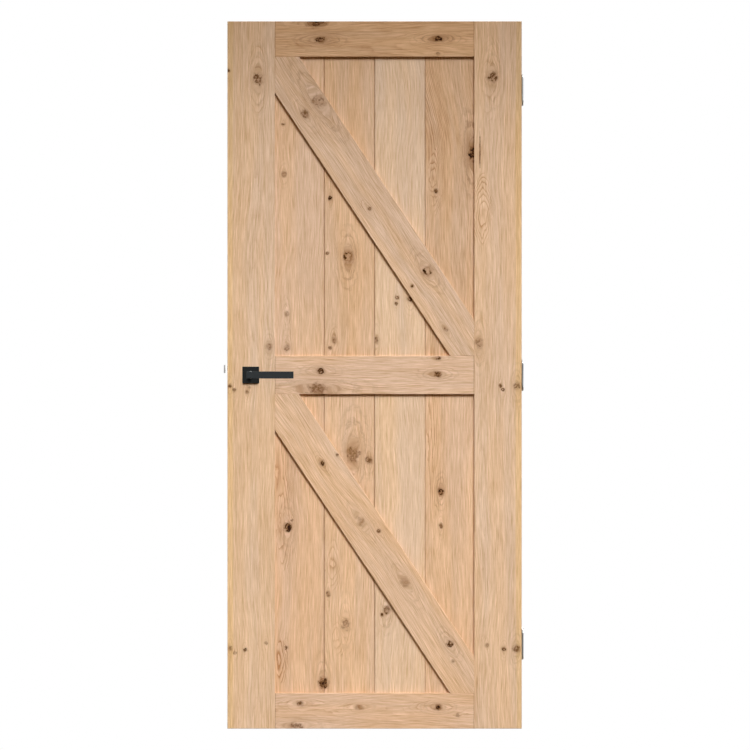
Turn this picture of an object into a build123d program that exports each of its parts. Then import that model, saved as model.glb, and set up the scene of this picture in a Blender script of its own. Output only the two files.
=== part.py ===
from build123d import *
import math
import os

os.makedirs("parts", exist_ok=True)

# A framed and braced oak interior door, in millimetres.
# X runs across the leaf, Y through it with the front at minus, Z up.
# The origin is the middle of the leaf's bottom edge. The lock edge is at minus X.

# Leaf
leaf_width = 880.0
leaf_height = 2115.0
leaf_thickness = 40.0
arris = 1.0

# Stiles and rails
stile_width = 142.0
top_rail_height = 106.0
middle_rail_height = 115.0
bottom_rail_height = 106.0
groove_depth = 12.0
groove_slack = 0.2
tenon_slack = 0.1
tenon_end_gap = 0.5

# Boards
board_thickness = 20.0
board_cover = 151.0
boards_per_panel = 4
board_entry = 10.0
board_gap = 0.6
board_bevel = 1.8
tongue_thickness = 6.0
tongue_length = 8.0
tongue_slack = 0.3

# Braces
brace_width = 120.0

# Dowels in the rail joints
dowel_diameter = 12.0
dowel_length = 100.0
dowel_in_stile = 35.0
dowel_spacing = 50.0
dowel_slack = 0.1
dowel_end_gap = 1.0

# Latch, with heights measured from the spindle
backset = 70.0
forend_length = 174.0
forend_width = 20.0
forend_thickness = 3.0
recess_slack = 0.2
forend_screw_height = 77.0
case_depth = 95.0
case_above = 46.0
case_below = 42.0
case_thickness = 15.0
case_sheet = 1.2
mortise_slack = 0.5
rivet_diameter = 3.0
rivet_inset = 5.0
latch_throw = 12.0
latch_height = 24.0
latch_width = 12.0
latch_rise = 18.0
latch_inside = 20.0
latch_slack = 0.2
bevel_flat = 2.5
bevel_length = 11.0
bevel_radius = 22.0
tail_thickness = 5.0
tail_gap = 1.4
hook_thickness = 4.0
hook_drop = 9.0
handle_turn = 40.0
arm_lean = 15.0
arm_width = 3.2
arm_tip_radius = 3.0
arm_thickness = 5.0
lower_arm_length = 17.0
contact_gap = 0.3
hub_diameter = 20.0
boss_diameter = 15.0
turning_gap = 0.1
side_gap = 0.3

# Springs in the latch case
spring_radius = 3.0
spring_wire = 0.5
spring_turns = 5
spring_end_gap = 0.1
stem_diameter = 4.0
stem_length = 10.0
spring_tab_distance = 28.0
spring_tab_thickness = 2.0
spring_tab_height = 10.0

# Lever handles and roses
spindle_side = 8.0
spindle_reach = 49.5
square_slack = 0.1
rose_side = 50.0
rose_depth = 8.0
rose_wall = 1.2
rose_edge = 1.0
rose_fit = 0.3
bush_diameter = 24.0
collar_diameter = 20.0
collar_gap = 1.2
collar_inset = 1.5
neck_side = 21.0
neck_gap = 0.4
lever_projection = 52.0
lever_thickness = 10.0
lever_reach = 129.0
lever_edge = 0.8
rose_bolt_pitch = 38.0
sleeve_diameter = 7.0
sleeve_head_diameter = 8.4
sleeve_end_gap = 5.0
bolt_diameter = 4.0
bolt_head_diameter = 7.6
bolt_length = 30.0
bolt_slack = 0.1
grub_diameter = 5.0
grub_depth_on_neck = 14.0

# Hinges
hinge_height = 89.0
hinge_plate_thickness = 3.0
hinge_corner = 10.0
hinge_plate_reach = 38.0
hinge_edge_gap = 3.0
hinge_axis_behind = 8.0
knuckle_diameter = 13.0
pin_diameter = 8.0
pin_slack = 0.05
pin_head_height = 3.0
bearing_height = 2.6
bearing_slack = 0.3
running_gap = 0.2
swing_gap = 0.7
outer_screw_height = 33.0
outer_screw_reach = 29.0
inner_screw_height = 12.0
inner_screw_reach = 17.0
door_screw_shift = 2.0
upper_hinge_drop = 200.0
lower_hinge_rise = 250.0

# Countersunk wood screws
hinge_screw_length = 35.0
forend_screw_length = 25.0
screw_diameter = 4.0
screw_hole_diameter = 5.0
screw_head_diameter = 8.6
pilot_slack = 0.05
countersink_slack = 0.2
screw_socket_across = 3.0
screw_socket_depth = 1.2

# Places that follow from the sizes above
half_width = leaf_width / 2
half_thickness = leaf_thickness / 2
opening_width = leaf_width - 2 * stile_width
half_opening = opening_width / 2
rail_heights = bottom_rail_height + middle_rail_height + top_rail_height
panel_height = (leaf_height - rail_heights) / 2
lower_panel_z = bottom_rail_height
middle_rail_z = lower_panel_z + panel_height
upper_panel_z = middle_rail_z + middle_rail_height
top_rail_z = upper_panel_z + panel_height
groove_width = board_thickness + 2 * groove_slack
spindle_x = -half_width + backset
spindle_z = middle_rail_z + middle_rail_height / 2
hinge_axis_x = half_width + hinge_edge_gap / 2
hinge_axis_y = half_thickness + hinge_axis_behind
hinges = {
    "upper_hinge": leaf_height - upper_hinge_drop,
    "middle_hinge": leaf_height / 2,
    "lower_hinge": lower_hinge_rise,
}
rails = {
    "bottom_rail": (0.0, bottom_rail_height, False, True),
    "middle_rail": (middle_rail_z, middle_rail_height, True, True),
    "top_rail": (top_rail_z, top_rail_height, True, False),
}
panels = {"lower": lower_panel_z, "upper": upper_panel_z}
faces = {"front": -1, "back": 1}


def dowel_heights(rail_z, height, grooved_below, grooved_above):
    """Heights of one rail joint's two dowels, centred on the wood between its grooves."""
    low = rail_z + (groove_depth if grooved_below else 0.0)
    high = rail_z + height - (groove_depth if grooved_above else 0.0)
    middle = (low + high) / 2
    return [middle - dowel_spacing / 2, middle + dowel_spacing / 2]


dowel_rows = [z for rail in rails.values() for z in dowel_heights(*rail)]


def screw_planes(side, x, z):
    """The four screw places of a hinge plate on the face at x, facing side along X."""
    # The door's screws are shifted, so that no head meets one of the frame's
    shift = door_screw_shift if side > 0 else 0.0
    places = [
        (outer_screw_reach + shift, outer_screw_height),
        (outer_screw_reach + shift, -outer_screw_height),
        (inner_screw_reach + shift, inner_screw_height),
        (inner_screw_reach + shift, -inner_screw_height),
    ]
    return [
        Plane(origin=(x, hinge_axis_y - reach, z + rise), z_dir=(side, 0, 0))
        for reach, rise in places
    ]


def forend_screw_planes(x):
    """The two forend screw places on the plane at x, facing away from the leaf."""
    rises = (-forend_screw_height, forend_screw_height)
    return [Plane(origin=(x, 0, spindle_z + rise), z_dir=(-1, 0, 0)) for rise in rises]


# Stiles, each one length of oak with a groove along its inner edge
for name, side in {"lock_stile": -1, "hinge_stile": 1}.items():
    inner_x = side * half_opening
    with BuildPart() as stile:
        with BuildSketch():
            with Locations((side * (half_width - stile_width / 2), 0)):
                Rectangle(stile_width, leaf_thickness)
        extrude(amount=leaf_height)
        chamfer(stile.faces().filter_by(Axis.Y).edges(), arris)
        with BuildSketch():
            with Locations((inner_x, 0)):
                Rectangle(2 * groove_depth, groove_width)
        extrude(amount=leaf_height, mode=Mode.SUBTRACT)
        with Locations([Plane(origin=(inner_x, 0, z), z_dir=(-side, 0, 0)) for z in dowel_rows]):
            Hole(dowel_diameter / 2 + dowel_slack, depth=dowel_in_stile + dowel_end_gap)
        if name == "lock_stile":
            # The forend's recess, the case's mortise and the bores for spindle and rose bolts
            with BuildSketch(Plane.YZ.offset(-half_width)):
                with Locations((0, spindle_z)):
                    SlotOverall(
                        forend_length + 2 * recess_slack,
                        forend_width + 2 * recess_slack,
                        rotation=90,
                    )
            extrude(amount=forend_thickness, mode=Mode.SUBTRACT)
            mortise_width = case_thickness + 2 * mortise_slack
            with BuildSketch(Plane.YZ.offset(-half_width)):
                with Locations((0, spindle_z + (case_above - case_below) / 2)):
                    SlotOverall(case_above + case_below + mortise_width, mortise_width, rotation=90)
            mortise_depth = forend_thickness + case_depth + mortise_slack
            extrude(amount=mortise_depth, mode=Mode.SUBTRACT)
            with BuildSketch(Plane.XZ):
                with Locations((spindle_x, spindle_z)):
                    Circle(collar_diameter / 2 + collar_gap)
                    with GridLocations(rose_bolt_pitch, 0, 2, 1):
                        Circle(sleeve_diameter / 2 + mortise_slack)
            extrude(amount=half_thickness, both=True, mode=Mode.SUBTRACT)
            with Locations(forend_screw_planes(-half_width + forend_thickness)):
                Hole(screw_diameter / 2 + pilot_slack, depth=forend_screw_length)
        else:
            # A recess with rounded ends and four pilot holes for each hinge plate
            recess_y = hinge_axis_y - hinge_plate_reach - recess_slack
            recess_x = half_width - hinge_plate_thickness
            for hinge_z in hinges.values():
                with BuildSketch(Plane.YZ.offset(recess_x)):
                    with Locations((recess_y, hinge_z)):
                        RectangleRounded(
                            2 * (half_thickness - recess_y),
                            hinge_height + 2 * recess_slack,
                            hinge_corner + recess_slack,
                            align=(Align.MIN, Align.CENTER),
                        )
                extrude(amount=hinge_plate_thickness, mode=Mode.SUBTRACT)
                with Locations(screw_planes(1, recess_x, hinge_z)):
                    Hole(screw_diameter / 2 + pilot_slack, depth=hinge_screw_length)
    stile.part.label = name
    export_step(stile.part, f"parts/{name}.step")

# Rails, with a stub tenon at each end that fills the stile's groove
for name, (rail_z, height, grooved_below, grooved_above) in rails.items():
    tenon_low = rail_z + (groove_depth if grooved_below else 0.0)
    tenon_high = rail_z + height - (groove_depth if grooved_above else 0.0)
    tenon_span = opening_width + 2 * (groove_depth - tenon_end_gap)
    with BuildPart() as rail:
        with BuildSketch(Plane.XY.offset(rail_z)):
            Rectangle(opening_width, leaf_thickness)
        extrude(amount=height)
        chamfer(rail.faces().filter_by(Axis.Y).edges(), arris)
        with BuildSketch(Plane.XY.offset(tenon_low)):
            Rectangle(tenon_span, groove_width - 2 * tenon_slack)
        extrude(amount=tenon_high - tenon_low)
        if grooved_below:
            with BuildSketch(Plane.XY.offset(rail_z)):
                Rectangle(opening_width, groove_width)
            extrude(amount=groove_depth, mode=Mode.SUBTRACT)
        if grooved_above:
            with BuildSketch(Plane.XY.offset(rail_z + height)):
                Rectangle(opening_width, groove_width)
            extrude(amount=-groove_depth, mode=Mode.SUBTRACT)
        hole_depth = dowel_length - dowel_in_stile + dowel_end_gap
        for side in (-1, 1):
            heights = dowel_heights(rail_z, height, grooved_below, grooved_above)
            shoulder_x = side * half_opening
            with Locations([Plane(origin=(shoulder_x, 0, z), z_dir=(side, 0, 0)) for z in heights]):
                Hole(dowel_diameter / 2 + dowel_slack, depth=hole_depth)
    rail.part.label = name
    export_step(rail.part, f"parts/{name}.step")

# Two beech dowels in each of the six rail joints
with BuildPart() as rail_dowels:
    for side in (-1, 1):
        dowel_x = side * (half_opening + dowel_in_stile - dowel_length / 2)
        with Locations([(dowel_x, 0, z) for z in dowel_rows]):
            Cylinder(dowel_diameter / 2, dowel_length, rotation=(0, 90, 0))
rail_dowels.part.label = "rail_dowels"
export_step(rail_dowels.part, "parts/rail_dowels.step")

# Tongued and grooved boards, numbered from the lock side
joints = [(k - boards_per_panel / 2) * board_cover for k in range(1, boards_per_panel)]
left_edges = [-half_opening - board_entry] + [x + board_gap / 2 for x in joints]
right_edges = [x - board_gap / 2 for x in joints] + [half_opening + board_entry]
for panel, panel_z in panels.items():
    for number, (left, right) in enumerate(zip(left_edges, right_edges), start=1):
        name = f"{panel}_board_{number}"
        with BuildPart() as board:
            with BuildSketch(Plane.XY.offset(panel_z - board_entry)) as section:
                with Locations(((left + right) / 2, 0)):
                    Rectangle(right - left, board_thickness)
                if number > 1:
                    chamfer(section.vertices().group_by(Axis.X)[0], board_bevel)
                if number < boards_per_panel:
                    chamfer(section.vertices().group_by(Axis.X)[-1], board_bevel)
                    with Locations((right, 0)):
                        Rectangle(2 * tongue_length, tongue_thickness)
                if number > 1:
                    tongue_room = board_gap + tongue_length + tongue_slack
                    with Locations((left - board_gap, 0)):
                        Rectangle(
                            2 * tongue_room,
                            tongue_thickness + 2 * tongue_slack,
                            mode=Mode.SUBTRACT,
                        )
            extrude(amount=panel_height + 2 * board_entry)
        board.part.label = name
        export_step(board.part, f"parts/{name}.step")

# Braces, from each panel's upper lock-side corner to its lower hinge-side corner
brace_angle = -math.degrees(math.atan2(panel_height, opening_width))
for panel, panel_z in panels.items():
    for face, side in faces.items():
        name = f"{face}_{panel}_brace"
        with BuildPart() as brace:
            with BuildSketch(Plane.XZ.offset(-side * board_thickness / 2)):
                with Locations((0, panel_z + panel_height / 2)):
                    Rectangle(opening_width, panel_height)
                    Rectangle(
                        opening_width + panel_height,
                        brace_width,
                        rotation=brace_angle,
                        mode=Mode.INTERSECT,
                    )
            extrude(amount=-side * (half_thickness - board_thickness / 2))
            outer_face = brace.faces().sort_by(Axis.Y)[0 if side < 0 else -1]
            chamfer(outer_face.edges(), arris)
        brace.part.label = name
        export_step(brace.part, f"parts/{name}.step")

# Forend, a plate with round ends let into the lock edge
with BuildPart() as latch_forend:
    with BuildSketch(Plane.YZ.offset(-half_width)):
        with Locations((0, spindle_z)):
            SlotOverall(forend_length, forend_width, rotation=90)
        with Locations((0, spindle_z + latch_rise)):
            Rectangle(
                latch_width + 2 * latch_slack,
                latch_height + 2 * latch_slack,
                mode=Mode.SUBTRACT,
            )
    extrude(amount=forend_thickness)
    with Locations(forend_screw_planes(-half_width)):
        CounterSinkHole(
            screw_hole_diameter / 2,
            screw_head_diameter / 2 + countersink_slack,
            counter_sink_angle=90,
        )
latch_forend.part.label = "latch_forend"
export_step(latch_forend.part, "parts/latch_forend.step")


def countersunk_screws(planes, length):
    """One screw under each plane, its flat head just below the plane."""
    head = (screw_head_diameter - screw_diameter) / 2
    top = (Align.CENTER, Align.CENTER, Align.MAX)
    with Locations([plane.offset(-countersink_slack) for plane in planes]):
        Cylinder(screw_diameter / 2, length, align=top)
        Cone(screw_diameter / 2, screw_head_diameter / 2, head, align=top)
    sockets = [plane.offset(-countersink_slack) for plane in planes]
    with BuildSketch(*sockets) as recesses:
        RegularPolygon(screw_socket_across / 2, 6, major_radius=False)
    extrude(recesses.sketch, amount=-screw_socket_depth, mode=Mode.SUBTRACT)


with BuildPart() as forend_screws:
    countersunk_screws(forend_screw_planes(-half_width), forend_screw_length)
forend_screws.part.label = "forend_screws"
export_step(forend_screws.part, "parts/forend_screws.step")

# Latch case, a folded tray on the front side with a flat cover on the back side
lock_plane = Plane(origin=(spindle_x, 0, spindle_z), x_dir=(1, 0, 0), z_dir=(0, -1, 0))
case_front_x = forend_thickness - backset
case_back_x = case_front_x + case_depth
case_half = case_thickness / 2
case_middle = ((case_front_x + case_back_x) / 2, (case_above - case_below) / 2)
case_height = case_above + case_below
inner_half = case_half - case_sheet
sleeve_hole_radius = sleeve_diameter / 2 + mortise_slack
rivet_across = case_depth / 2 - rivet_inset
rivet_rise = case_height / 2 - rivet_inset
rivet_spots = [
    (case_middle[0] + across * rivet_across, case_middle[1] + up * rivet_rise)
    for across in (-1, 1)
    for up in (-1, 1)
]


def case_bores():
    """Bores through the case's sheet: follower, rose sleeves and rivets."""
    Circle(boss_diameter / 2 + turning_gap)
    with GridLocations(rose_bolt_pitch, 0, 2, 1):
        Circle(sleeve_hole_radius)
    with Locations(rivet_spots):
        Circle(rivet_diameter / 2 + turning_gap / 2)


with BuildPart() as latch_case:
    with BuildSketch(lock_plane.offset(case_half)):
        with Locations(case_middle):
            Rectangle(case_depth, case_height)
    extrude(amount=-(case_thickness - case_sheet))
    back_face = latch_case.faces().sort_by(Axis.Y)[-1]
    offset(amount=-case_sheet, openings=back_face)
    with BuildSketch(lock_plane.offset(case_half)):
        case_bores()
    extrude(amount=-case_sheet, mode=Mode.SUBTRACT)
    with BuildSketch(Plane.YZ.offset(spindle_x + case_front_x)):
        with Locations((0, spindle_z + latch_rise)):
            Rectangle(latch_width + 2 * latch_slack, latch_height + 2 * latch_slack)
    extrude(amount=case_sheet, mode=Mode.SUBTRACT)
    # The tab that the follower spring pushes against
    with BuildSketch(lock_plane.offset(inner_half)):
        with Locations((-spring_tab_distance, -lower_arm_length)):
            Rectangle(spring_tab_thickness, spring_tab_height, align=(Align.MAX, Align.CENTER))
    extrude(amount=-(2 * inner_half - side_gap))
latch_case.part.label = "latch_case"
export_step(latch_case.part, "parts/latch_case.step")

with BuildPart() as latch_case_cover:
    with BuildSketch(lock_plane.offset(-case_half)):
        with Locations(case_middle):
            Rectangle(case_depth, case_height)
    extrude(amount=case_sheet)
    with BuildSketch(lock_plane.offset(-case_half)):
        case_bores()
    extrude(amount=case_sheet, mode=Mode.SUBTRACT)
latch_case_cover.part.label = "latch_case_cover"
export_step(latch_case_cover.part, "parts/latch_case_cover.step")

with BuildPart() as case_rivets:
    with BuildSketch(lock_plane):
        with Locations(rivet_spots):
            Circle(rivet_diameter / 2)
    extrude(amount=case_half, both=True)
case_rivets.part.label = "case_rivets"
export_step(case_rivets.part, "parts/case_rivets.step")

# Follower: turning the handle by handle_turn draws the latch in by latch_throw
arm_end = handle_turn - arm_lean
arm_swing = math.sin(math.radians(arm_end)) + math.sin(math.radians(arm_lean))
arm_radius = latch_throw / arm_swing
upper_arm_angle = 90 + arm_lean


def follower_arm(length, angle):
    """A round-ended arm from the spindle's centre, outwards at an angle from plus X."""
    turn = math.radians(angle)
    end = (length * math.cos(turn), length * math.sin(turn))
    with Locations((end[0] / 2, end[1] / 2)):
        Rectangle(length, arm_width, rotation=angle)
    with Locations(end):
        Circle(arm_tip_radius)


with BuildPart() as follower:
    with BuildSketch(lock_plane):
        Circle(hub_diameter / 2)
    extrude(amount=inner_half - side_gap, both=True)
    with BuildSketch(lock_plane):
        Circle(boss_diameter / 2)
    extrude(amount=case_half, both=True)
    with BuildSketch(lock_plane):
        follower_arm(arm_radius, upper_arm_angle)
        follower_arm(lower_arm_length, -90)
    extrude(amount=arm_thickness / 2, both=True)
    with BuildSketch(lock_plane):
        Rectangle(spindle_side + 2 * square_slack, spindle_side + 2 * square_slack)
    extrude(amount=case_half, both=True, mode=Mode.SUBTRACT)
follower.part.label = "follower"
export_step(follower.part, "parts/follower.step")

# Latch bolt: a head bevelled on its front side, a tail over the follower, and a hook
hook_face_x = -arm_radius * math.sin(math.radians(arm_lean)) + arm_tip_radius + contact_gap
hook_back_x = hook_face_x + hook_thickness
head_front_x = -half_width - latch_throw
head_back_x = -half_width + latch_inside
tail_low = arm_radius + arm_tip_radius + tail_gap
tail_height = latch_rise + latch_height / 2 - tail_low
with BuildPart() as latch_bolt:
    with BuildSketch(Plane.XY.offset(spindle_z + latch_rise - latch_height / 2)):
        with BuildLine():
            half_latch = latch_width / 2
            start = (head_front_x, half_latch)
            tip = (head_front_x, half_latch - bevel_flat)
            heel = (head_front_x + bevel_length, -half_latch)
            Line(start, tip)
            RadiusArc(tip, heel, bevel_radius)
            Polyline(heel, (head_back_x, -half_latch), (head_back_x, half_latch), start)
        make_face()
    extrude(amount=latch_height)
    with BuildSketch(lock_plane):
        tail_start = head_back_x - spindle_x
        with Locations((tail_start, tail_low)):
            Rectangle(hook_back_x - tail_start, tail_height, align=(Align.MIN, Align.MIN))
        with Locations((hook_face_x, tail_low - hook_drop)):
            Rectangle(hook_thickness, hook_drop + tail_height, align=(Align.MIN, Align.MIN))
    extrude(amount=tail_thickness / 2, both=True)
    spring_axis_z = spindle_z + tail_low + tail_height / 2
    with BuildSketch(Plane.YZ.offset(spindle_x + hook_back_x)):
        with Locations((0, spring_axis_z)):
            Circle(stem_diameter / 2)
    extrude(amount=stem_length)
latch_bolt.part.label = "latch_bolt"
export_step(latch_bolt.part, "parts/latch_bolt.step")


def spring_path(low_x, high_x, z):
    """The centre line of a coil spring along X, clear of both seats by its wire."""
    clear = spring_wire + spring_end_gap
    height = high_x - low_x - 2 * clear
    Helix(
        pitch=height / spring_turns,
        height=height,
        radius=spring_radius,
        center=(low_x + clear, 0, z),
        direction=(1, 0, 0),
    )


# Latch spring, between the hook and the back of the case
with BuildPart() as latch_spring:
    with BuildLine() as latch_spring_line:
        spring_path(
            spindle_x + hook_back_x,
            spindle_x + case_back_x - case_sheet,
            spring_axis_z,
        )
    with BuildSketch(Plane(latch_spring_line.line @ 0, z_dir=latch_spring_line.line % 0)):
        Circle(spring_wire)
    sweep(path=latch_spring_line.line, is_frenet=True)
latch_spring.part.label = "latch_spring"
export_step(latch_spring.part, "parts/latch_spring.step")

# Follower spring, between the tab of the case and the follower's lower arm
with BuildPart() as follower_spring:
    with BuildLine() as follower_spring_line:
        spring_path(
            spindle_x - spring_tab_distance,
            spindle_x - arm_tip_radius,
            spindle_z - lower_arm_length,
        )
    with BuildSketch(Plane(follower_spring_line.line @ 0, z_dir=follower_spring_line.line % 0)):
        Circle(spring_wire)
    sweep(path=follower_spring_line.line, is_frenet=True)
follower_spring.part.label = "follower_spring"
export_step(follower_spring.part, "parts/follower_spring.step")

# Spindle, through the follower and into both levers
with BuildPart() as spindle:
    with BuildSketch(lock_plane):
        Rectangle(spindle_side, spindle_side)
    extrude(amount=spindle_reach, both=True)
    chamfer(spindle.faces().filter_by(Axis.Y).edges(), square_slack)
spindle.part.label = "spindle"
export_step(spindle.part, "parts/spindle.step")

# Roses and levers, alike on both faces of the leaf
cover_room = rose_depth - rose_wall
neck_start = rose_depth + neck_gap
bar_start = lever_projection - lever_thickness
grub_y = half_thickness + grub_depth_on_neck + neck_start
for face, side in faces.items():
    face_plane = Plane(
        origin=(spindle_x, side * half_thickness, spindle_z),
        x_dir=(1, 0, 0),
        z_dir=(0, side, 0),
    )
    bolt_hole = sleeve_diameter if face == "front" else bolt_diameter
    head_hole = sleeve_head_diameter if face == "front" else bolt_head_diameter

    with BuildPart() as rose_cover:
        with BuildSketch(face_plane):
            RectangleRounded(rose_side, rose_side, rose_edge)
        extrude(amount=rose_depth)
        outer_face = rose_cover.faces().sort_by(Axis.Y)[0 if side < 0 else -1]
        chamfer(outer_face.edges(), rose_edge)
        with BuildSketch(face_plane):
            Rectangle(rose_side - 2 * rose_wall, rose_side - 2 * rose_wall)
        extrude(amount=cover_room, mode=Mode.SUBTRACT)
        with BuildSketch(face_plane):
            Circle(collar_diameter / 2 + collar_gap)
        extrude(amount=rose_depth, mode=Mode.SUBTRACT)
    rose_cover.part.label = f"{face}_rose_cover"
    export_step(rose_cover.part, f"parts/{face}_rose_cover.step")

    with BuildPart() as rose_base:
        base_side = rose_side - 2 * rose_wall - 2 * rose_fit
        with BuildSketch(face_plane):
            Rectangle(base_side, base_side)
            Circle(bush_diameter / 2, mode=Mode.SUBTRACT)
        extrude(amount=cover_room)
        with Locations(face_plane.offset(cover_room)):
            with GridLocations(rose_bolt_pitch, 0, 2, 1):
                CounterSinkHole(
                    bolt_hole / 2 + turning_gap,
                    head_hole / 2 + countersink_slack,
                    counter_sink_angle=90,
                )
    rose_base.part.label = f"{face}_rose_base"
    export_step(rose_base.part, f"parts/{face}_rose_base.step")

    with BuildPart() as rose_bush:
        with BuildSketch(face_plane):
            Circle(bush_diameter / 2 - pin_slack)
            Circle(collar_diameter / 2 + turning_gap, mode=Mode.SUBTRACT)
        extrude(amount=cover_room)
    rose_bush.part.label = f"{face}_rose_bush"
    export_step(rose_bush.part, f"parts/{face}_rose_bush.step")

    with BuildPart() as lever:
        with BuildSketch(face_plane.offset(neck_start)):
            Rectangle(neck_side, neck_side)
        extrude(amount=lever_projection - neck_start)
        with BuildSketch(face_plane.offset(bar_start)):
            with Locations((-neck_side / 2, 0)):
                Rectangle(
                    lever_reach + neck_side / 2,
                    neck_side,
                    align=(Align.MIN, Align.CENTER),
                )
        extrude(amount=lever_thickness)
        fillet(lever.edges(), lever_edge)
        with BuildSketch(face_plane.offset(collar_inset)):
            Circle(collar_diameter / 2)
        extrude(amount=neck_start - collar_inset)
        with BuildSketch(face_plane.offset(collar_inset)):
            Rectangle(spindle_side + 2 * square_slack, spindle_side + 2 * square_slack)
        extrude(amount=spindle_reach - half_thickness, mode=Mode.SUBTRACT)
        under_neck = (spindle_x, side * grub_y, spindle_z - neck_side / 2)
        with Locations(Plane(origin=under_neck, z_dir=(0, 0, -1))):
            Hole(grub_diameter / 2 + pin_slack, depth=neck_side / 2)
    lever.part.label = f"{face}_lever"
    export_step(lever.part, f"parts/{face}_lever.step")

# Grub screws that hold the levers on the spindle, under each neck
with BuildPart() as lever_grub_screws:
    grub_length = (neck_side - spindle_side) / 2 - countersink_slack
    grub_planes = [
        Plane(
            origin=(spindle_x, side * grub_y, spindle_z - spindle_side / 2 - grub_length),
            z_dir=(0, 0, -1),
        )
        for side in faces.values()
    ]
    with BuildSketch(*grub_planes):
        Circle(grub_diameter / 2)
    extrude(amount=-grub_length)
    with BuildSketch(*grub_planes):
        RegularPolygon(grub_diameter / 4, 6, major_radius=False)
    extrude(amount=-grub_length / 2, mode=Mode.SUBTRACT)
lever_grub_screws.part.label = "lever_grub_screws"
export_step(lever_grub_screws.part, "parts/lever_grub_screws.step")


def rose_bolt_planes(side):
    """The two fixing places on one rose base, facing away from the leaf."""
    y = side * (half_thickness + cover_room - countersink_slack)
    shifts = (-rose_bolt_pitch / 2, rose_bolt_pitch / 2)
    return [
        Plane(origin=(spindle_x + shift, y, spindle_z), z_dir=(0, side, 0)) for shift in shifts
    ]


# Sleeves from the front rose and the bolts from the back rose that screw into them
head_down = (Align.CENTER, Align.CENTER, Align.MAX)
sleeve_length = leaf_thickness + cover_room - countersink_slack - sleeve_end_gap
with BuildPart() as rose_sleeves:
    with Locations(rose_bolt_planes(-1)):
        Cylinder(sleeve_diameter / 2, sleeve_length, align=head_down)
        sleeve_head = (sleeve_head_diameter - sleeve_diameter) / 2
        Cone(sleeve_diameter / 2, sleeve_head_diameter / 2, sleeve_head, align=head_down)
    with Locations([plane.offset(-sleeve_length) for plane in rose_bolt_planes(-1)]):
        Hole(bolt_diameter / 2 + bolt_slack / 2, depth=bolt_length)
    with BuildSketch(*rose_bolt_planes(-1)):
        RegularPolygon(screw_socket_across / 2, 6, major_radius=False)
    extrude(amount=-screw_socket_depth, mode=Mode.SUBTRACT)
rose_sleeves.part.label = "rose_sleeves"
export_step(rose_sleeves.part, "parts/rose_sleeves.step")

with BuildPart() as rose_bolts:
    with Locations(rose_bolt_planes(1)):
        Cylinder(bolt_diameter / 2, bolt_length, align=head_down)
        bolt_head = (bolt_head_diameter - bolt_diameter) / 2
        Cone(bolt_diameter / 2, bolt_head_diameter / 2, bolt_head, align=head_down)
    with BuildSketch(*rose_bolt_planes(1)):
        RegularPolygon(screw_socket_across / 2, 6, major_radius=False)
    extrude(amount=-screw_socket_depth, mode=Mode.SUBTRACT)
rose_bolts.part.label = "rose_bolts"
export_step(rose_bolts.part, "parts/rose_bolts.step")

# Butt hinges with five knuckles, the frame's at the ends and in the middle
knuckle_radius = knuckle_diameter / 2
bore_radius = pin_diameter / 2 + pin_slack
bearing_joint = bearing_height + running_gap
joints_above = [bearing_joint, running_gap, running_gap, bearing_joint]
knuckle_count = len(joints_above) + 1
knuckle_length = (hinge_height - sum(joints_above)) / knuckle_count
frame_knuckles = range(0, knuckle_count, 2)
door_knuckles = range(1, knuckle_count, 2)
knuckle_lows = [-hinge_height / 2]
for joint in joints_above:
    knuckle_lows.append(knuckle_lows[-1] + knuckle_length + joint)


def hinge_plate(plate_x, side, own, others, hinge_z):
    """A plate at plate_x with its own knuckles, cut back round the other plate's."""
    low_end = (Align.CENTER, Align.CENTER, Align.MIN)
    with BuildSketch(Plane.YZ.offset(plate_x)) as outline:
        with Locations((hinge_axis_y, hinge_z)):
            Rectangle(hinge_plate_reach, hinge_height, align=(Align.MAX, Align.CENTER))
        fillet(outline.vertices().group_by(Axis.X)[0], hinge_corner)
    extrude(outline.sketch, amount=hinge_plate_thickness)
    for index in others:
        low = knuckle_lows[index]
        start = knuckle_lows[index - 1] + knuckle_length if index else low
        end = knuckle_lows[index + 1] if index + 1 < knuckle_count else low + knuckle_length
        with Locations((hinge_axis_x, hinge_axis_y, hinge_z + start)):
            Cylinder(knuckle_radius + swing_gap, end - start, align=low_end, mode=Mode.SUBTRACT)
    for index in own:
        with Locations((hinge_axis_x, hinge_axis_y, hinge_z + knuckle_lows[index])):
            Cylinder(knuckle_radius, knuckle_length, align=low_end)
    with Locations((hinge_axis_x, hinge_axis_y, hinge_z)):
        Cylinder(bore_radius, hinge_height, mode=Mode.SUBTRACT)
    face_x = plate_x if side < 0 else plate_x + hinge_plate_thickness
    with Locations(screw_planes(side, face_x, hinge_z)):
        CounterSinkHole(
            screw_hole_diameter / 2,
            screw_head_diameter / 2 + countersink_slack,
            counter_sink_angle=90,
        )


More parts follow.
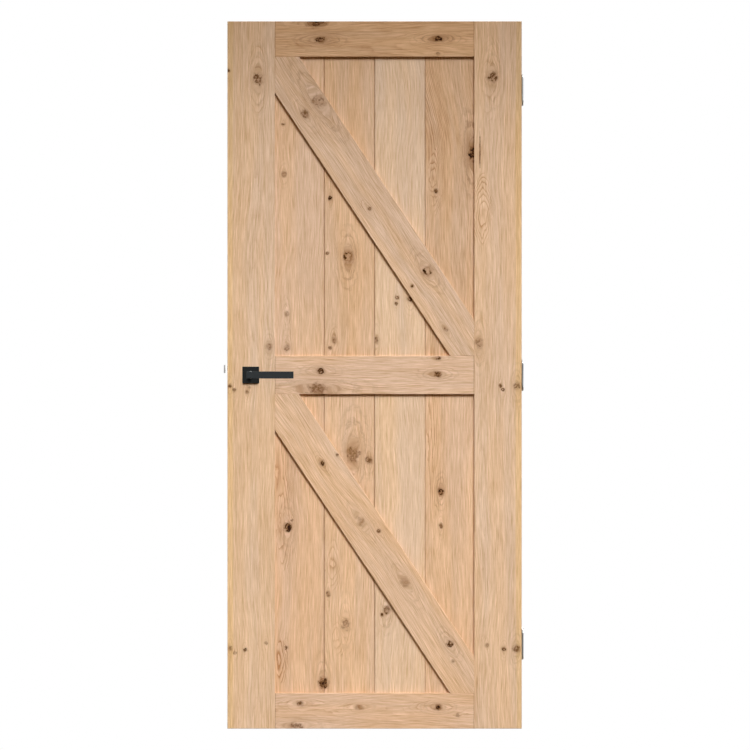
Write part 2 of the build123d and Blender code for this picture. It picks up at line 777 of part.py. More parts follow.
for name, hinge_z in hinges.items():
    with BuildPart() as frame_plate:
        frame_plate_x = half_width + hinge_edge_gap
        hinge_plate(frame_plate_x, -1, frame_knuckles, door_knuckles, hinge_z)
    frame_plate.part.label = f"{name}_frame_plate"
    export_step(frame_plate.part, f"parts/{name}_frame_plate.step")

    with BuildPart() as door_plate:
        door_plate_x = half_width - hinge_plate_thickness
        hinge_plate(door_plate_x, 1, door_knuckles, frame_knuckles, hinge_z)
    door_plate.part.label = f"{name}_door_plate"
    export_step(door_plate.part, f"parts/{name}_door_plate.step")

    with BuildPart() as hinge_pin:
        with Locations((hinge_axis_x, hinge_axis_y, hinge_z)):
            Cylinder(pin_diameter / 2, hinge_height)
        head_shift = (hinge_height + pin_head_height) / 2
        with Locations([(hinge_axis_x, hinge_axis_y, hinge_z + s * head_shift) for s in (-1, 1)]):
            Cylinder(knuckle_radius, pin_head_height)
        pin_ends = hinge_pin.faces().sort_by(Axis.Z)
        chamfer([pin_ends[0].edges()[0], pin_ends[-1].edges()[0]], pin_head_height / 2)
    hinge_pin.part.label = f"{name}_pin"
    export_step(hinge_pin.part, f"parts/{name}_pin.step")

    with BuildPart() as bearings:
        bearing_lows = (knuckle_lows[0] + knuckle_length, knuckle_lows[-1] - bearing_height)
        race_radius = knuckle_radius - bearing_slack
        axis_origin = (hinge_axis_x, hinge_axis_y, hinge_z)
        with BuildSketch(Plane(origin=axis_origin, x_dir=(1, 0, 0), z_dir=(0, -1, 0))):
            for low in bearing_lows:
                with Locations((0, low)):
                    Rectangle(race_radius, bearing_height, align=(Align.MIN, Align.MIN))
                    Rectangle(
                        bore_radius + bearing_slack,
                        bearing_height,
                        align=(Align.MIN, Align.MIN),
                        mode=Mode.SUBTRACT,
                    )
        revolve(axis=Axis((hinge_axis_x, hinge_axis_y, 0), (0, 0, 1)))
    bearings.part.label = f"{name}_bearings"
    export_step(bearings.part, f"parts/{name}_bearings.step")

    with BuildPart() as hinge_screws:
        countersunk_screws(screw_planes(1, half_width, hinge_z), hinge_screw_length)
    hinge_screws.part.label = f"{name}_screws"
    export_step(hinge_screws.part, f"parts/{name}_screws.step")
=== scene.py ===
import math

import bmesh
import bpy
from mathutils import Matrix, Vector


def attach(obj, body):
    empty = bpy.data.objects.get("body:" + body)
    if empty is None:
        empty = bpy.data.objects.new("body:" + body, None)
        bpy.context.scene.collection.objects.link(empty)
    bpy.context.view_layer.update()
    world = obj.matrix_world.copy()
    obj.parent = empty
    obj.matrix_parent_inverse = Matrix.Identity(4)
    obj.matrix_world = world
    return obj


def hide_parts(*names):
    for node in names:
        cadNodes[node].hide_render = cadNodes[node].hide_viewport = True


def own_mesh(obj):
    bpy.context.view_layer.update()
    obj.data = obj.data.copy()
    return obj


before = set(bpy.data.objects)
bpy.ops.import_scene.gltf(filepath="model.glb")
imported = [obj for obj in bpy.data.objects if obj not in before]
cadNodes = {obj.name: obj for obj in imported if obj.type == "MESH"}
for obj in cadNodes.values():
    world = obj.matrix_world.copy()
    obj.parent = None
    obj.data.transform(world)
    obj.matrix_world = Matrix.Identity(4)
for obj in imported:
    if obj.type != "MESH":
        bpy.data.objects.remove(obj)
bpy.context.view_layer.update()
print("frame loaded with", len(cadNodes), "nodes")

scene = bpy.context.scene
scene.view_settings.view_transform = "Standard"
scene.view_settings.look = "None"

leafFront = -0.020  # the front face of the stiles and rails, along Y
pureWhite = (1.0, 1.0, 1.0, 1.0)

# Camera, straight on to the leaf's front face, at half the leaf's height
cameraView = {
    "distance": 8.0,
    "across": 0.0013,
    "front": leafFront,
    "height": 1.0575,
    "frameWidth": 2.2425,  # what the frame takes in at the front face
    "sensor": 36.0,
    "farthest": 100.0,
}


def makeCamera(view):
    data = bpy.data.cameras.new("camera")
    data.sensor_width = view["sensor"]
    data.lens = view["sensor"] * view["distance"] / view["frameWidth"]
    data.clip_end = view["farthest"]
    camera = bpy.data.objects.new("camera", data)
    camera.location = (view["across"], view["front"] - view["distance"], view["height"])
    camera.rotation_euler = (math.pi / 2, 0.0, 0.0)
    scene.collection.objects.link(camera)
    scene.camera = camera


makeCamera(cameraView)
print("camera placed")


# Small helpers for shader nodes
def fill(tree, node, values):
    for socket, value in values.items():
        if isinstance(value, bpy.types.NodeSocket):
            tree.links.new(value, node.inputs[socket])
        else:
            node.inputs[socket].default_value = value
    return node.outputs


def put(tree, kind, values, output=0, **settings):
    node = tree.nodes.new("ShaderNode" + kind)
    for key, value in settings.items():
        setattr(node, key, value)
    return fill(tree, node, values)[output]


def place(tree, group, values):
    node = tree.nodes.new("ShaderNodeGroup")
    node.node_tree = group
    return fill(tree, node, values)


def maths(tree, operation, first, second=0.0, third=0.0, clamp=False):
    return put(tree, "Math", {0: first, 1: second, 2: third}, operation=operation, use_clamp=clamp)


def vectorMaths(tree, operation, first, second=(0.0, 0.0, 0.0)):
    output = 1 if operation in ("LENGTH", "DOT_PRODUCT") else 0
    return put(tree, "VectorMath", {0: first, 1: second}, output, operation=operation)


def scaled(tree, vector, factor):
    return put(tree, "VectorMath", {0: vector, "Scale": factor}, operation="SCALE")


def smooth(tree, value, low, high, lowest=0.0, highest=1.0):
    values = {0: value, 1: low, 2: high, 3: lowest, 4: highest}
    return put(tree, "MapRange", values, interpolation_type="SMOOTHSTEP")


def noiseAt(tree, vector, stretch, detail=2.0, output=0):
    placed = vectorMaths(tree, "MULTIPLY", vector, stretch)
    return put(tree, "TexNoise", {"Vector": placed, "Scale": 1.0, "Detail": detail}, output)


# Noise round zero, as one number or as a vector
def evenNoise(tree, vector, stretch, detail=2.0):
    return maths(tree, "SUBTRACT", noiseAt(tree, vector, stretch, detail), 0.5)


def evenNoises(tree, vector, stretch, detail=2.0):
    return vectorMaths(tree, "SUBTRACT", noiseAt(tree, vector, stretch, detail, 1), (0.5, 0.5, 0.5))


def axis(tree, vector, name):
    return put(tree, "SeparateXYZ", {0: vector}, name)


def mixed(tree, factor, first, second, mode="MIX"):
    return put(tree, "Mix", {0: factor, 6: first, 7: second}, 2, data_type="RGBA", blend_type=mode)


# A colour times a tint, as far as the factor says
def tinted(tree, factor, colour, tint):
    return mixed(tree, factor, colour, mixed(tree, 1.0, colour, (*tint, 1.0), "MULTIPLY"))


def newGroup(name, inputs, outputs):
    group = bpy.data.node_groups.new(name, "ShaderNodeTree")
    for side, sockets in (("INPUT", inputs), ("OUTPUT", outputs)):
        for label, kind in sockets.items():
            group.interface.new_socket(name=label, in_out=side, socket_type="NodeSocket" + kind)
    source = group.nodes.new("NodeGroupInput").outputs
    sink = group.nodes.new("NodeGroupOutput")
    return group, source, sink


def newMaterial(name):
    material = bpy.data.materials.new(name)
    material.use_nodes = True
    tree = material.node_tree
    shader = tree.nodes["Principled BSDF"]
    return material, tree, shader


def paint(material, *names):
    for name in names:
        node = cadNodes[name]
        if node.material_slots:
            for slot in node.material_slots:
                slot.material = material
        else:
            node.data.materials.append(material)


# World: white to the camera, a dim warm fill on the object, and white panels in its gloss
studioFill = {
    "colour": (1.0, 0.57, 0.16, 1.0),
    "below": 0.125,
    "above": 0.21,
    "glossBelow": 0.30,
    "glossAbove": 0.75,
    "glossRise": (-0.4, 0.8),  # the panels brighten between these, from -1 below to 1 above
}


def makeWorld(light):
    world = bpy.data.worlds.new("studio")
    scene.world = world
    world.use_nodes = True
    tree = world.node_tree
    tree.nodes.clear()
    direction = put(tree, "TexCoord", {}, "Generated")
    upwards = axis(tree, direction, "Z")
    soft = smooth(tree, upwards, -1.0, 1.0, light["below"], light["above"])
    seen = put(tree, "LightPath", {}, "Is Camera Ray")
    glossy = put(tree, "LightPath", {}, "Is Glossy Ray")
    panels = smooth(tree, upwards, *light["glossRise"], light["glossBelow"], light["glossAbove"])
    soft = put(tree, "Mix", {0: glossy, 2: soft, 3: panels}, 0, data_type="FLOAT")
    strength = put(tree, "Mix", {0: seen, 2: soft, 3: 1.0}, 0, data_type="FLOAT")
    clear = maths(tree, "MAXIMUM", seen, glossy)
    colour = mixed(tree, clear, light["colour"], pureWhite)
    background = put(tree, "Background", {"Color": colour, "Strength": strength})
    output = tree.nodes.new("ShaderNodeOutputWorld")
    tree.links.new(background, output.inputs["Surface"])


makeWorld(studioFill)

# Floor, white to the camera and dull to the light, so that it throws little back at the leaf
studioFloor = {"height": -0.006, "half": 14.0, "dull": (0.20, 0.175, 0.13, 1.0)}


def makeFloor(floor):
    mesh = bpy.data.meshes.new("floor")
    work = bmesh.new()
    bmesh.ops.create_grid(work, x_segments=1, y_segments=1, size=floor["half"])
    bmesh.ops.translate(work, vec=(0.0, 0.0, floor["height"]), verts=work.verts)
    work.to_mesh(mesh)
    work.free()
    piece = bpy.data.objects.new("floor", mesh)
    scene.collection.objects.link(piece)
    material = bpy.data.materials.new("floor white")
    material.use_nodes = True
    tree = material.node_tree
    tree.nodes.clear()
    dull = put(tree, "BsdfDiffuse", {"Color": floor["dull"]})
    bright = put(tree, "Emission", {"Color": pureWhite, "Strength": 1.0})
    seen = put(tree, "LightPath", {}, "Is Camera Ray")
    both = put(tree, "MixShader", {0: seen, 1: dull, 2: bright})
    output = tree.nodes.new("ShaderNodeOutputMaterial")
    tree.links.new(both, output.inputs["Surface"])
    mesh.materials.append(material)


makeFloor(studioFloor)

# Lamps: the key is a round cluster of narrow spots, so that its shadows are soft
# and its light still fades towards the top of the leaf
keyLamp = {
    "place": (5.22, -17.41, 16.73),
    "aim": (-0.20, 0.0, 0.42),
    "watts": 1500.0,
    "spread": 9.1,
    "radius": 0.25,
    "rings": ((0.0, 1), (2.4, 6), (4.8, 12)),  # metres from the middle, and the spots there
    "colour": (0.97, 1.035, 1.065),
}
backLamp = {"place": (2.0, 5.5, 3.2), "aim": (0.0, 0.0, 1.0), "watts": 270.0, "size": 4.2}
sideLamp = {"place": (-5.0, 0.8, 2.6), "aim": (0.0, 0.4, 1.0), "watts": 100.0, "size": 3.6}


def placeLamp(name, data, position, aim):
    lamp = bpy.data.objects.new(name, data)
    lamp.location = position
    away = Vector(aim) - Vector(position)
    lamp.rotation_euler = away.to_track_quat("-Z", "Y").to_euler()
    lamp.visible_camera = False
    scene.collection.objects.link(lamp)
    return lamp


def makeKey(settings):
    data = bpy.data.lights.new("key lamp", "SPOT")
    data.energy = settings["watts"]
    data.color = settings["colour"]
    data.spot_size = math.radians(settings["spread"])
    data.spot_blend = 1.0
    data.shadow_soft_size = settings["radius"]
    middle = Vector(settings["place"])
    turn = (Vector(settings["aim"]) - middle).to_track_quat("-Z", "Y")
    lamps = []
    for distance, number in settings["rings"]:
        for step in range(number):
            angle = 2 * math.pi * step / number
            offset = Vector((distance * math.cos(angle), distance * math.sin(angle), 0.0))
            position = middle + turn @ offset
            lamps.append(placeLamp("key lamp", data, position, settings["aim"]))
    return lamps


def makeSoftbox(name, settings):
    data = bpy.data.lights.new(name, "AREA")
    data.energy = settings["watts"]
    data.size = settings["size"]
    placeLamp(name, data, settings["place"], settings["aim"])


key = makeKey(keyLamp)
makeSoftbox("back lamp", backLamp)
makeSoftbox("side lamp", sideLamp)


# The handle's shadow on the wood is kept out of the key light, as in the studio picture
def keepShadowOff(lamps, *names):
    group = bpy.data.collections.new("no key shadow")
    for name in names:
        group.objects.link(cadNodes[name])
    for item in group.collection_objects:
        item.light_linking.link_state = "EXCLUDE"
    for lamp in lamps:
        lamp.light_linking.blocker_collection = group


keepShadowOff(key, "front_lever", "front_rose_cover")
print("studio lit")


# A knot: the grain flows round it, and it has a ragged dark core, a rim and a brown haze.
# Distances are in the knot's own radii, and a pair says where a zone starts and is full.
knotLook = {
    "flow": (1.0, 0.0, 0.42),  # the oval in which the grain bends, longer up than across
    "pull": 2.0,  # how hard the grain is drawn to the knot's middle
    "pullSoft": 0.1,
    "ragged": (2.0, 0.0, 2.0),
    "rim": 0.95,
    "rimWidth": (0.55, 0.02),
    "rimGaps": (-0.10, 0.05),
    "rimSide": (-0.7, 0.1),
    "heart": (1.25, 0.45),
    "heartSpecks": (0.34, 0.60),
    "palerHeart": -0.9,  # what a crescent's pale heart loses
    "brown": (2.7, 0.7),
    "brownShare": (0.60, 0.40),  # by the darkness, and without it
    "innerRings": 15.0,
    "innerShare": (0.16, 0.90),  # how far the inner rings swing, and about what
    "open": (0.9, 0.4),
    "haze": (4.0, 0.9),
    "hazeOval": (1.0, 0.0, 0.75),
    "hazeShare": 0.45,
    "ovalWaver": 7.0,
    "ovalRings": 6.0,
    "ovalThin": 3.0,
    "ovals": (5.0, 1.4),
    "ovalShare": 0.50,
}


def makeKnotGroup(look):
    group, source, sink = newGroup(
        "knot",
        {
            "Position": "Vector",
            "Grain": "Vector",
            "Rough": "Vector",
            "Speck": "Float",
            "Dark": "Float",
            "HazeAndShade": "Float",
            "Centre": "Vector",
            "Size": "Vector",
            "Darkness": "Float",
            "Haziness": "Float",
            "Side": "Vector",
        },
        {"Grain": "Vector", "Dark": "Float", "HazeAndShade": "Float"},
    )
    away = vectorMaths(group, "SUBTRACT", source["Position"], source["Centre"])
    reach = vectorMaths(group, "MULTIPLY", away, source["Size"])
    flow = vectorMaths(group, "LENGTH", vectorMaths(group, "MULTIPLY", reach, look["flow"]))
    bend = maths(group, "MULTIPLY_ADD", flow, flow, look["pullSoft"])
    pull = maths(group, "MINIMUM", maths(group, "DIVIDE", look["pull"], bend), 1.0)
    sideways = vectorMaths(group, "MULTIPLY", away, (-1.0, 0.0, 0.0))
    grain = vectorMaths(group, "ADD", source["Grain"], scaled(group, sideways, pull))
    parts = axis(group, source["Rough"], "Y")
    ragged = vectorMaths(group, "MULTIPLY", source["Rough"], look["ragged"])
    warped = vectorMaths(group, "ADD", reach, ragged)
    near = vectorMaths(group, "LENGTH", warped)

    # A dark rim round a brown heart that is part black. Where a side is given,
    # the rim is a crescent towards it and the heart is pale.
    rim = maths(group, "ABSOLUTE", maths(group, "SUBTRACT", near, look["rim"]))
    rim = smooth(group, rim, *look["rimWidth"])
    rim = maths(group, "MULTIPLY", rim, smooth(group, parts, *look["rimGaps"]))
    sided = vectorMaths(group, "DOT_PRODUCT", warped, source["Side"])
    rim = maths(group, "MULTIPLY", rim, smooth(group, sided, *look["rimSide"]))
    specks = smooth(group, source["Speck"], *look["heartSpecks"])
    heart = maths(group, "MULTIPLY", smooth(group, near, *look["heart"]), specks)
    pale = vectorMaths(group, "LENGTH", source["Side"])
    loss = maths(group, "MULTIPLY_ADD", pale, look["palerHeart"], 1.0)
    heart = maths(group, "MULTIPLY", heart, loss)
    black = maths(group, "MULTIPLY", maths(group, "MAXIMUM", rim, heart), source["Darkness"])
    dark = maths(group, "MAXIMUM", black, source["Dark"])

    # The brown of the knot, its haze, and ovals of grain round it
    share = maths(group, "MULTIPLY_ADD", source["Darkness"], *look["brownShare"])
    zone = maths(group, "MULTIPLY", smooth(group, near, *look["brown"]), share)
    inner = maths(group, "SINE", maths(group, "MULTIPLY", near, look["innerRings"]))
    zone = maths(group, "MULTIPLY", zone, maths(group, "MULTIPLY_ADD", inner, *look["innerShare"]))
    clear = maths(group, "MULTIPLY", smooth(group, near, *look["open"]), pale)
    loss = maths(group, "MULTIPLY_ADD", clear, look["palerHeart"], 1.0)
    zone = maths(group, "MULTIPLY", zone, loss)
    wide = vectorMaths(group, "LENGTH", vectorMaths(group, "MULTIPLY", warped, look["hazeOval"]))
    wide = maths(group, "MULTIPLY", smooth(group, wide, *look["haze"]), look["hazeShare"])
    rings = maths(group, "MULTIPLY", flow, look["ovalRings"])
    oval = maths(group, "SINE", maths(group, "MULTIPLY_ADD", parts, look["ovalWaver"], rings))
    oval = maths(group, "POWER", maths(group, "MULTIPLY_ADD", oval, 0.5, 0.5), look["ovalThin"])
    oval = maths(group, "MULTIPLY", oval, smooth(group, flow, *look["ovals"]))
    oval = maths(group, "MULTIPLY", oval, look["ovalShare"])
    wide = maths(group, "MULTIPLY", maths(group, "MAXIMUM", wide, oval), source["Haziness"])
    haze = maths(group, "MAXIMUM", maths(group, "MAXIMUM", zone, wide), source["HazeAndShade"])
    fill(group, sink, {"Grain": grain, "Dark": dark, "HazeAndShade": haze})
    return group


knotGroup = makeKnotGroup(knotLook)


# A swelling of the rings, which the face cuts into nested pointed ovals
swellLook = {
    "round": 2.0,  # how the swelling falls off across the grain
    "pointed": 1.4,  # and along it
    "edge": (1.3, 0.7),
}


def makeSwellGroup(look):
    group, source, sink = newGroup(
        "swell",
        {
            "Position": "Vector",
            "Depth": "Float",
            "Bold": "Float",
            "Centre": "Vector",
            "Size": "Vector",
            "Amount": "Float",
            "Strength": "Float",
        },
        {"Depth": "Float", "Bold": "Float"},
    )
    away = vectorMaths(group, "SUBTRACT", source["Position"], source["Centre"])
    reach = vectorMaths(group, "ABSOLUTE", vectorMaths(group, "MULTIPLY", away, source["Size"]))
    across = maths(group, "POWER", axis(group, reach, "X"), look["round"])
    along = maths(group, "POWER", axis(group, reach, "Z"), look["pointed"])
    fall = maths(group, "ADD", across, along)
    rise = maths(group, "MAXIMUM", maths(group, "SUBTRACT", 1.0, fall), 0.0)
    depth = maths(group, "MULTIPLY_ADD", rise, source["Amount"], source["Depth"])
    strength = maths(group, "MULTIPLY", smooth(group, fall, *look["edge"]), source["Strength"])
    fill(group, sink, {"Depth": depth, "Bold": maths(group, "MAXIMUM", strength, source["Bold"])})
    return group


swellGroup = makeSwellGroup(swellLook)


# Oak: growth rings cut through, streaks along the grain, patches of hue, pores, knots and end grain.
# A noise is how often it comes along X, Y and Z in a metre, and its strength. A share is
# what varies and what is always there, and an edge is where a mask starts and is full.
oakLook = {
    "wave": ((4.5, 4.5, 2.4), 0.045),
    "ripple": ((22.0, 22.0, 8.0), 0.006),
    "drift": ((2.4, 2.4, 0.8), 0.050),
    "wobble": ((12.0, 12.0, 1.8), 0.012),
    "ragged": ((130.0, 130.0, 34.0), 0.0022),
    "ringShare": (0.75, 0.25),
    "boldStrength": 0.7,
    "ringFade": 3.6,  # how fast a ring's dark early wood fades
    "ringStart": (0.0, 0.10),
    "broken": (60.0, 60.0, 9.0),
    "brokenEdge": (0.30, 0.62),
    "boldBroken": 0.6,
    "lineStrength": 1.3,
    "hair": ((900.0, 900.0, 20.0), 1.02),
    "fine": ((420.0, 420.0, 9.0), 0.62),
    "middle": ((95.0, 95.0, 3.2), 0.09),
    "broad": ((20.0, 20.0, 3.0), 0.22),
    "level": (0.90, 1.22, 1.72),  # how much red, green and blue follow streaks and patches
    "brightness": 1.02,
    "hue": (17.0, 17.0, 1.6),
    "hueEdge": (0.36, 0.64),
    "coolTint": (0.978, 0.981, 0.984, 1.0),
    "warmTint": (1.032, 0.997, 0.920, 1.0),
    "sapTint": (1.03, 1.01, 0.85),
    "pores": (2100.0, 2100.0, 70.0),
    "poreEdge": (0.60, 0.76),
    "poreShare": (0.7, 0.3),
    "poreDepth": 0.55,
    "lineTint": (0.66, 0.50, 0.36),
    "poreTint": (0.70, 0.60, 0.50),
    # The brown of the haze, which also darkens the painted shade in board bevels
    "hazeAndShadeTint": (0.42, 0.315, 0.225),
    "hazeShare": (2.0, 0.95),
    "endTint": (0.80, 0.73, 0.64),
    "cracks": (260.0, 260.0, 160.0),
    "crackShare": (0.8, 0.62),
    "brown": (0.145, 0.058, 0.018, 1.0),
    "brownEdge": (0.0, 0.65),
    "black": (0.014, 0.003, 0.001, 1.0),
    "blackEdge": (0.50, 1.0),
    "roughness": 0.60,
    "streakRoughness": -0.5,
    "endRoughness": 0.15,
    "knotRoughness": 0.25,
    "poreHeight": -0.8,
    "lineHeight": -0.35,
    "knotHeight": -0.6,
}


def makeOakGroup(look):
    group, source, sink = newGroup(
        "oak",
        {
            "Grain": "Vector",
            "Seed": "Vector",
            "Pith": "Vector",
            "Ring": "Float",
            "Taper": "Float",
            "Tone": "Color",
            "Lines": "Float",
            "Streaks": "Float",
            "Patches": "Float",
            "Dark": "Float",
            "HazeAndShade": "Float",
            "End": "Float",
            "Sap": "Float",
            "Depth": "Float",
            "Bold": "Float",
        },
        {"Color": "Color", "Roughness": "Float", "Height": "Float"},
    )
    spot = vectorMaths(group, "ADD", source["Grain"], source["Seed"])
    often, strength = look["wave"]
    wave = maths(group, "MULTIPLY", evenNoise(group, spot, often, 1.0), strength)
    often, strength = look["ripple"]
    wave = maths(group, "MULTIPLY_ADD", evenNoise(group, spot, often, 1.0), strength, wave)
    spot = vectorMaths(group, "ADD", spot, put(group, "CombineXYZ", {0: wave}))

    # Rings, which the face cuts into arches and ovals where they lie nearly flat to it
    often, strength = look["drift"]
    drift = scaled(group, evenNoises(group, spot, often, 1.0), strength)
    often, strength = look["wobble"]
    wobble = scaled(group, evenNoises(group, spot, often), strength)
    often, raggedness = look["ragged"]
    ragged = evenNoise(group, spot, often)
    across = vectorMaths(group, "SUBTRACT", source["Grain"], source["Pith"])
    across = vectorMaths(group, "ADD", vectorMaths(group, "ADD", across, drift), wobble)
    along = axis(group, source["Grain"], "Z")
    radius = vectorMaths(group, "LENGTH", vectorMaths(group, "MULTIPLY", across, (1.0, 1.0, 0.0)))
    radius = maths(group, "MULTIPLY_ADD", along, source["Taper"], radius)
    radius = maths(group, "ADD", radius, source["Depth"])
    radius = maths(group, "MULTIPLY_ADD", ragged, raggedness, radius)
    turns = maths(group, "DIVIDE", radius, source["Ring"])
    ring = maths(group, "FLOOR", turns)
    part = maths(group, "FRACT", turns)
    strong = put(group, "TexWhiteNoise", {"W": ring}, "Value", noise_dimensions="1D")
    strong = maths(group, "MULTIPLY_ADD", maths(group, "POWER", strong, 2.0), *look["ringShare"])
    bold = maths(group, "MULTIPLY", source["Bold"], look["boldStrength"])
    strong = maths(group, "MAXIMUM", strong, bold)
    early = maths(group, "POWER", maths(group, "SUBTRACT", 1.0, part), look["ringFade"])
    early = maths(group, "MULTIPLY", early, smooth(group, part, *look["ringStart"]))
    broken = smooth(group, noiseAt(group, spot, look["broken"], 1.0), *look["brokenEdge"])
    bold = maths(group, "MULTIPLY", source["Bold"], look["boldBroken"])
    broken = maths(group, "MAXIMUM", broken, bold)
    line = maths(group, "MULTIPLY", maths(group, "MULTIPLY", early, strong), broken)
    share = maths(group, "MULTIPLY", source["Lines"], look["lineStrength"])
    share = maths(group, "ADD", share, source["Bold"])
    line = maths(group, "MULTIPLY", line, share, clamp=True)

    # Streaks and patches
    often, hairShare = look["hair"]
    hair = evenNoise(group, spot, often)
    often, fineShare = look["fine"]
    fine = evenNoise(group, spot, often)
    often, middleShare = look["middle"]
    middle = evenNoise(group, spot, often)
    often, broadShare = look["broad"]
    broad = evenNoise(group, spot, often, 3.0)
    streak = maths(group, "MULTIPLY", middle, middleShare)
    streak = maths(group, "MULTIPLY_ADD", fine, fineShare, streak)
    streak = maths(group, "MULTIPLY_ADD", hair, hairShare, streak)
    streak = maths(group, "MULTIPLY", streak, source["Streaks"])
    patch = maths(group, "MULTIPLY", broad, maths(group, "MULTIPLY", source["Patches"], broadShare))
    level = scaled(group, look["level"], maths(group, "ADD", streak, patch))
    level = vectorMaths(group, "ADD", level, (look["brightness"],) * 3)
    hue = smooth(group, noiseAt(group, spot, look["hue"]), *look["hueEdge"])
    tint = mixed(group, hue, look["coolTint"], look["warmTint"])
    colour = vectorMaths(group, "MULTIPLY", source["Tone"], level)
    colour = mixed(group, 1.0, colour, tint, "MULTIPLY")
    colour = tinted(group, source["Sap"], colour, look["sapTint"])

    # Open pores lie in the early wood
    pore = smooth(group, noiseAt(group, spot, look["pores"], 0.0), *look["poreEdge"])
    pore = maths(group, "MULTIPLY", pore, maths(group, "MULTIPLY_ADD", early, *look["poreShare"]))
    colour = tinted(group, line, colour, look["lineTint"])
    deep = maths(group, "MULTIPLY", pore, look["poreDepth"])
    colour = tinted(group, deep, colour, look["poreTint"])

    # Knots, joints and the painted shade in board bevels: a brown haze, then brown, then black
    streakyHazeAndShade = maths(group, "MULTIPLY_ADD", middle, *look["hazeShare"])
    streakyHazeAndShade = maths(group, "MULTIPLY", source["HazeAndShade"], streakyHazeAndShade, clamp=True)
    colour = tinted(group, streakyHazeAndShade, colour, look["hazeAndShadeTint"])
    crack = noiseAt(group, spot, look["cracks"])
    crack = maths(group, "MULTIPLY_ADD", crack, *look["crackShare"])
    dark = maths(group, "MULTIPLY", source["Dark"], crack)
    brown = smooth(group, dark, *look["brownEdge"])
    colour = mixed(group, brown, colour, look["brown"])
    black = smooth(group, dark, *look["blackEdge"])
    colour = mixed(group, black, colour, look["black"])
    colour = tinted(group, source["End"], colour, look["endTint"])

    rough = maths(group, "MULTIPLY_ADD", streak, look["streakRoughness"], look["roughness"])
    rough = maths(group, "MULTIPLY_ADD", source["End"], look["endRoughness"], rough)
    rough = maths(group, "MULTIPLY_ADD", brown, look["knotRoughness"], rough)
    height = maths(group, "MULTIPLY_ADD", pore, look["poreHeight"], streak)
    height = maths(group, "MULTIPLY_ADD", line, look["lineHeight"], height)
    height = maths(group, "MULTIPLY_ADD", dark, look["knotHeight"], height)
    fill(group, sink, {"Color": colour, "Roughness": rough, "Height": height})
    return group


oakGroup = makeOakGroup(oakLook)


# Where a point lies once its piece is turned so that the grain runs upright
def turned(point, degrees):
    angle = math.radians(degrees)
    x, z = point
    return (x * math.cos(angle) + z * math.sin(angle), -x * math.sin(angle) + z * math.cos(angle))


# What all the oak pieces share. A pair says where an effect starts and is full.
oakShare = {
    "endGrain": (0.80, 0.97),  # how squarely a face has to cut the grain
    # Tilts over which a bevel's painted shade comes in and goes out again
    "bevelStart": (0.35, 0.65),
    "bevelEnd": (0.95, 0.80),
    "bevelSides": (-0.5, 0.5),  # how far the left and the right bevel face sideways
    "knotRagged": (95.0, 95.0, 80.0),
    "knotSpecks": (170.0, 170.0, 130.0),
    "sapUneven": (60.0, 60.0, 1.5),
    "sapEdge": (1.7, 1.2),  # in widths of the sapwood
    "swellUneven": (45.0, 45.0, 16.0),
    "swellShift": 0.022,
    "bump": 0.5,
    "bumpHeight": 0.0004,
    "gloss": 0.12,
}


